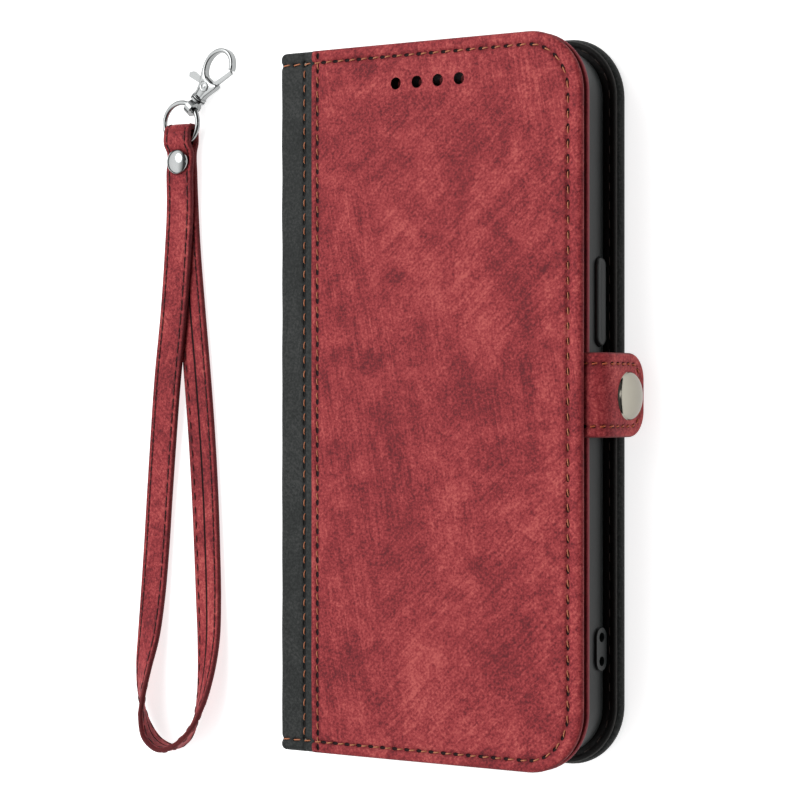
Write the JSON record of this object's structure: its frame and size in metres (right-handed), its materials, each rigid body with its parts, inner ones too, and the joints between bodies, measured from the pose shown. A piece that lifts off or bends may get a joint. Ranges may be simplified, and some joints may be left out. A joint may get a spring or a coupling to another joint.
{
  "type": "phone wallet case",
  "caption": "Folding wallet case with a phone shell, card pockets, a magnetic closing tab and a detached wrist strap with a swivel hook.",
  "frame": {"origin": "middle of the back cover's outer face, on the surface that the closed case lies on", "axes": "+X towards the opening edge, away from the spine; +Y towards the top of the case; +Z out of the front cover"},
  "size_m": [0.1504, 0.1775, 0.0204],
  "materials": {
    "red_leather": "matte brushed grain, mottled",
    "black_leather": "fine grain, satin",
    "brown_lining": "smooth, matte",
    "greyboard": "plain board",
    "adhesive": "foam tape",
    "black_tpu": "satin",
    "magnet_steel": "nickel plated",
    "nickel": "satin domed",
    "polished_steel": "polished",
    "orange_thread": "twisted sewing thread",
    "maroon_thread": "twisted sewing thread"
  },
  "bodies": {
    "back": {"back_skin": "black_leather", "back_board": "greyboard", "back_lining": "black_leather", "adhesive_pad": "adhesive", "shell_floor": "black_tpu", "shell_wall": "black_tpu", "lanyard_boss": "black_tpu", "stub_tab": "red_leather", "magnet": "magnet_steel", "magnet_cap": "red_leather"},
    "spine": {"spine_skin": "black_leather", "spine_stiffener": "greyboard", "spine_lining": "black_leather"},
    "front_cover": {"front_skin": "red_leather", "front_spine_strip": "black_leather", "front_board": "greyboard", "front_lining": "brown_lining", "tab_root": "red_leather", "cash_pocket": "brown_lining", "card_pocket_1": "brown_lining", "card_pocket_2": "brown_lining", "card_pocket_3": "brown_lining"},
    "front_tab": {"tab_outer": "red_leather", "tab_inner": "red_leather", "keeper_plate": "magnet_steel", "tab_cap": "nickel"},
    "power_key": {"power_key": "black_tpu"},
    "volume_up_key": {"volume_up_key": "black_tpu"},
    "volume_down_key": {"volume_down_key": "black_tpu"},
    "strap": {"strap_band": "red_leather", "rivet_cap": "nickel", "rivet_post": "nickel", "rivet_back": "nickel"},
    "ring": {"strap_ring": "polished_steel"},
    "eye": {"swivel_eye": "polished_steel"},
    "hook": {"hook_body": "polished_steel", "gate_pin": "polished_steel", "gate_spring": "polished_steel"},
    "gate": {"gate_lever": "polished_steel"}
  },
  "joints": [
    {"name": "spine_fold", "type": "hinge", "parent": "back", "child": "spine", "pos_m": [-0.0415, 0, 0], "axis": [0, -1, 0], "range_deg": [0, 80]},
    {"name": "cover_fold", "type": "hinge", "parent": "spine", "child": "front_cover", "pos_m": [-0.0415, 0, 0.0204], "axis": [0, -1, 0], "range_deg": [0, 80]},
    {"name": "tab_fold", "type": "hinge", "parent": "front_cover", "child": "front_tab", "pos_m": [0.042, 0, 0.0182], "axis": [0, -1, 0], "range_deg": [0, 100]},
    {"name": "power_press", "type": "slide", "parent": "back", "child": "power_key", "axis": [-1, 0, 0], "range_m": [0, 0.0004], "stiffness_N_per_m": 1500},
    {"name": "volume_up_press", "type": "slide", "parent": "back", "child": "volume_up_key", "axis": [1, 0, 0], "range_m": [0, 0.0004], "stiffness_N_per_m": 1500},
    {"name": "volume_down_press", "type": "slide", "parent": "back", "child": "volume_down_key", "axis": [1, 0, 0], "range_m": [0, 0.0004], "stiffness_N_per_m": 1500},
    {"name": "strap_lift", "type": "slide", "parent": "back", "child": "strap", "axis": [0, 0, 1], "range_m": [0, 0.1]},
    {"name": "ring_turn", "type": "hinge", "parent": "strap", "child": "ring", "pos_m": [-0.0868, 0.0706, 0.00215], "axis": [0, 0, 1], "continuous": true},
    {"name": "eye_swing", "type": "hinge", "parent": "strap", "child": "eye", "pos_m": [-0.08312, 0.07441, 0.00215], "axis": [0.7373, -0.6756, 0], "range_deg": [0, 100]},
    {"name": "hook_swivel", "type": "hinge", "parent": "eye", "child": "hook", "pos_m": [-0.08312, 0.07441, 0.00215], "axis": [0.6756, 0.7373, 0], "continuous": true},
    {"name": "gate_open", "type": "hinge", "parent": "hook", "child": "gate", "pos_m": [-0.07859, 0.07935, 0.00215], "axis": [0, 0, 1], "range_deg": [0, 20], "stiffness_Nm_per_rad": 0.02}
  ],
  "couplings": [
    {"joint": "spine_fold", "follows": "cover_fold", "ratio": 1}
  ]
}
